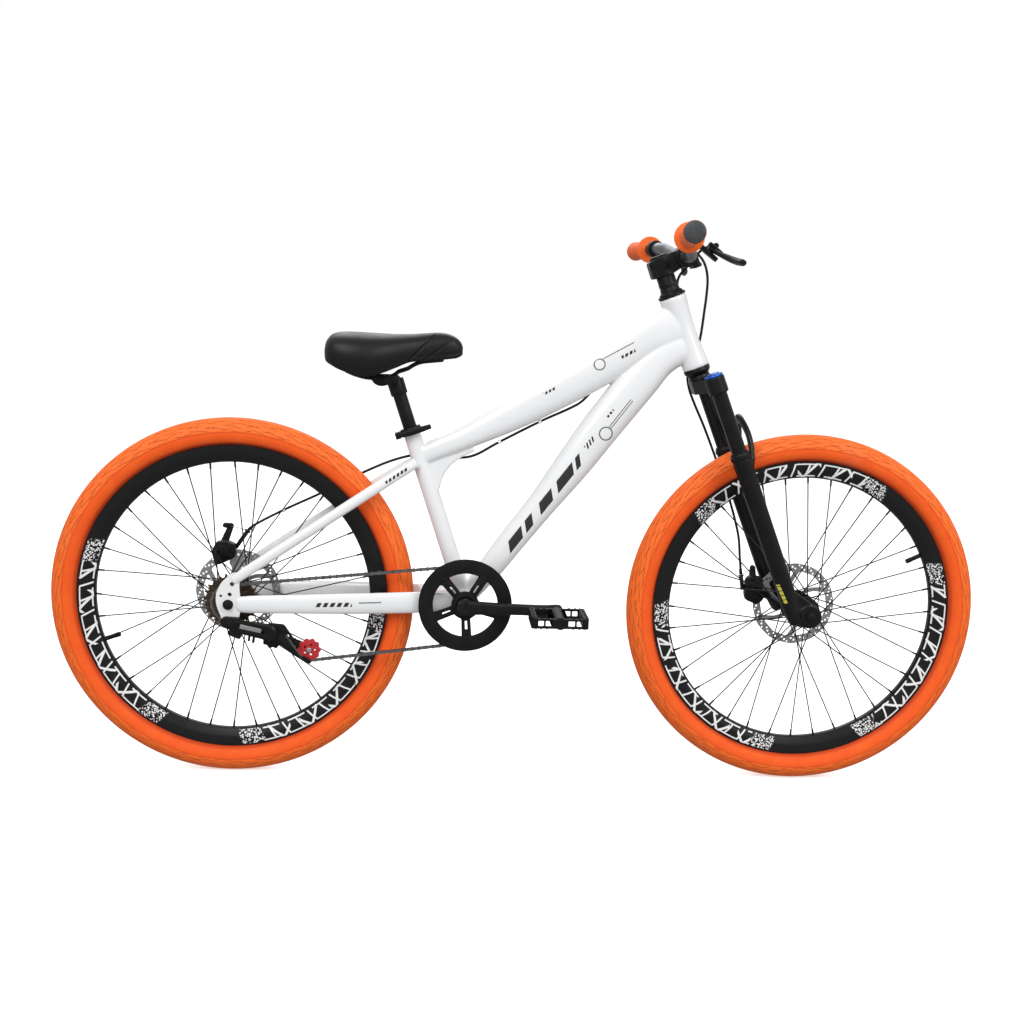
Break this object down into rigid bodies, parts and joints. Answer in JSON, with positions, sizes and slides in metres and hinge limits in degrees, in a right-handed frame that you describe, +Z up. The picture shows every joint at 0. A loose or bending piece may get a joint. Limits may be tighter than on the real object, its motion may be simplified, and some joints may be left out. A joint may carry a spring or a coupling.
{
  "type": "freeride bike",
  "caption": "Hardtail freeride bicycle with a sloping white frame, sprung fork, cable disc brakes and a chain guard, standing on its wheels.",
  "frame": {"origin": "on the ground, midway between the axles, in the middle plane", "axes": "+X towards the front wheel, +Y to the rider's left, +Z up"},
  "size_m": [1.75, 0.6316, 1.0403],
  "materials": {
    "white_paint": "gloss",
    "black_paint": "satin",
    "satin_black_metal": "satin",
    "orange_tyre": "matt",
    "orange_grip": "matt",
    "bare_steel": "brushed",
    "brown_steel": "browned",
    "graphite_aluminium": "satin",
    "blue_cap": "satin",
    "red_plastic": "matt",
    "black_vinyl": "grained",
    "black_plastic": "matt"
  },
  "bodies": {
    "frame": {"front_frame": "white_paint", "right_rear_stays": "white_paint", "left_rear_stays": "white_paint", "headset_upper_cup": "satin_black_metal", "headset_lower_cup": "satin_black_metal", "rear_axle": "satin_black_metal", "rear_caliper": "satin_black_metal", "derailleur_body": "black_plastic", "derailleur_cage": "satin_black_metal", "chain": "bare_steel", "rear_brake_cable": "black_plastic", "seat_clamp_collar": "satin_black_metal"},
    "steering": {"fork_crown": "black_paint", "steerer_tube": "bare_steel", "headset_cone_spacer": "satin_black_metal", "right_stanchion": "satin_black_metal", "left_stanchion": "satin_black_metal", "preload_cap": "blue_cap", "left_leg_cap": "satin_black_metal", "stem": "satin_black_metal", "handlebar": "graphite_aluminium", "right_grip": "orange_grip", "left_grip": "orange_grip", "right_lever_perch": "black_plastic", "left_lever_perch": "black_plastic", "rear_brake_cable_loop": "black_plastic", "front_brake_cable": "black_plastic"},
    "fork_slider": {"fork_lowers": "black_paint", "right_dust_seal": "black_plastic", "left_dust_seal": "black_plastic", "front_axle": "satin_black_metal", "front_caliper": "satin_black_metal"},
    "front_wheel": {"front_tyre": "orange_tyre", "front_rim": "black_paint", "front_hub_and_spokes": "black_paint", "front_rotor": "bare_steel"},
    "rear_wheel": {"rear_tyre": "orange_tyre", "rear_rim": "black_paint", "rear_hub_and_spokes": "black_paint", "rear_rotor": "bare_steel"},
    "cranks": {"right_crank": "satin_black_metal", "left_crank": "satin_black_metal", "bottom_bracket_axle": "bare_steel", "chainring": "satin_black_metal", "chain_guard": "black_plastic"},
    "freewheel_body": {"freewheel": "brown_steel"},
    "guide_pulley_body": {"guide_pulley": "red_plastic"},
    "tension_pulley_body": {"tension_pulley": "red_plastic"},
    "right_pedal_body": {"right_pedal": "black_plastic"},
    "left_pedal_body": {"left_pedal": "black_plastic"},
    "right_lever_body": {"right_brake_lever": "black_paint"},
    "left_lever_body": {"left_brake_lever": "black_paint"},
    "rear_arm": {"rear_caliper_arm": "bare_steel"},
    "front_arm": {"front_caliper_arm": "bare_steel"},
    "saddle_post": {"seatpost": "black_paint", "saddle_clamp": "satin_black_metal", "saddle_rails": "satin_black_metal", "saddle_base": "black_plastic", "saddle_cushion": "black_vinyl"},
    "quick_release": {"quick_release_lever": "satin_black_metal"}
  },
  "joints": [
    {"name": "steering", "type": "hinge", "parent": "frame", "child": "steering", "pos_m": [0.31256, 0, 0.79047], "axis": [-0.3746, 0, 0.9272], "range_deg": [-75, 75], "deforming": ["rear_brake_cable_loop"]},
    {"name": "fork_travel", "type": "slide", "parent": "steering", "child": "fork_slider", "axis": [-0.3746, 0, 0.9272], "range_m": [0, 0.1], "stiffness_N_per_m": 8000, "springref_m": -0.01, "deforming": ["front_brake_cable"]},
    {"name": "front_wheel_spin", "type": "hinge", "parent": "fork_slider", "child": "front_wheel", "pos_m": [0.539, 0, 0.336], "axis": [0, 1, 0], "continuous": true},
    {"name": "rear_wheel_spin", "type": "hinge", "parent": "frame", "child": "rear_wheel", "pos_m": [-0.539, 0, 0.336], "axis": [0, 1, 0], "continuous": true},
    {"name": "crank_spin", "type": "hinge", "parent": "frame", "child": "cranks", "pos_m": [-0.1065, 0, 0.34], "axis": [0, 1, 0], "continuous": true},
    {"name": "freewheel_spin", "type": "hinge", "parent": "frame", "child": "freewheel_body", "pos_m": [-0.539, 0, 0.336], "axis": [0, 1, 0], "continuous": true},
    {"name": "guide_pulley_spin", "type": "hinge", "parent": "frame", "child": "guide_pulley_body", "pos_m": [-0.459, -0.0565, 0.273], "axis": [0, 1, 0], "continuous": true},
    {"name": "tension_pulley_spin", "type": "hinge", "parent": "frame", "child": "tension_pulley_body", "pos_m": [-0.3925, -0.0565, 0.2505], "axis": [0, 1, 0], "continuous": true},
    {"name": "right_pedal_spin", "type": "hinge", "parent": "cranks", "child": "right_pedal_body", "pos_m": [0.0585, -0.146, 0.34], "axis": [0, 1, 0], "continuous": true},
    {"name": "left_pedal_spin", "type": "hinge", "parent": "cranks", "child": "left_pedal_body", "pos_m": [-0.2715, 0.146, 0.34], "axis": [0, 1, 0], "continuous": true},
    {"name": "right_lever_pull", "type": "hinge", "parent": "steering", "child": "right_lever_body", "pos_m": [0.296, -0.156, 0.998], "axis": [-0.6, 0, -0.8], "range_deg": [0, 20], "stiffness_Nm_per_rad": 1, "springref_deg": -5.73},
    {"name": "left_lever_pull", "type": "hinge", "parent": "steering", "child": "left_lever_body", "pos_m": [0.296, 0.156, 0.998], "axis": [0.6, 0, 0.8], "range_deg": [0, 20], "stiffness_Nm_per_rad": 1, "springref_deg": -5.73},
    {"name": "rear_arm_turn", "type": "hinge", "parent": "frame", "child": "rear_arm", "pos_m": [-0.574, 0.071, 0.412], "axis": [0, 1, 0], "range_deg": [0, 25]},
    {"name": "front_arm_turn", "type": "hinge", "parent": "fork_slider", "child": "front_arm", "pos_m": [0.46, 0.0593, 0.366], "axis": [0, -1, 0], "range_deg": [0, 25]},
    {"name": "seatpost_slide", "type": "slide", "parent": "frame", "child": "saddle_post", "axis": [-0.3239, 0, 0.9461], "range_m": [-0.06, 0.09]},
    {"name": "quick_release_turn", "type": "hinge", "parent": "frame", "child": "quick_release", "pos_m": [-0.23834, -0.0172, 0.64789], "axis": [0.3239, 0, -0.9461], "range_deg": [0, 150]}
  ],
  "couplings": [
    {"joint": "freewheel_spin", "follows": "crank_spin", "ratio": 2.25},
    {"joint": "guide_pulley_spin", "follows": "crank_spin", "ratio": -3.6},
    {"joint": "tension_pulley_spin", "follows": "crank_spin", "ratio": 3.6},
    {"joint": "rear_arm_turn", "follows": "right_lever_pull", "ratio": 1.2},
    {"joint": "front_arm_turn", "follows": "left_lever_pull", "ratio": 1.2}
  ]
}
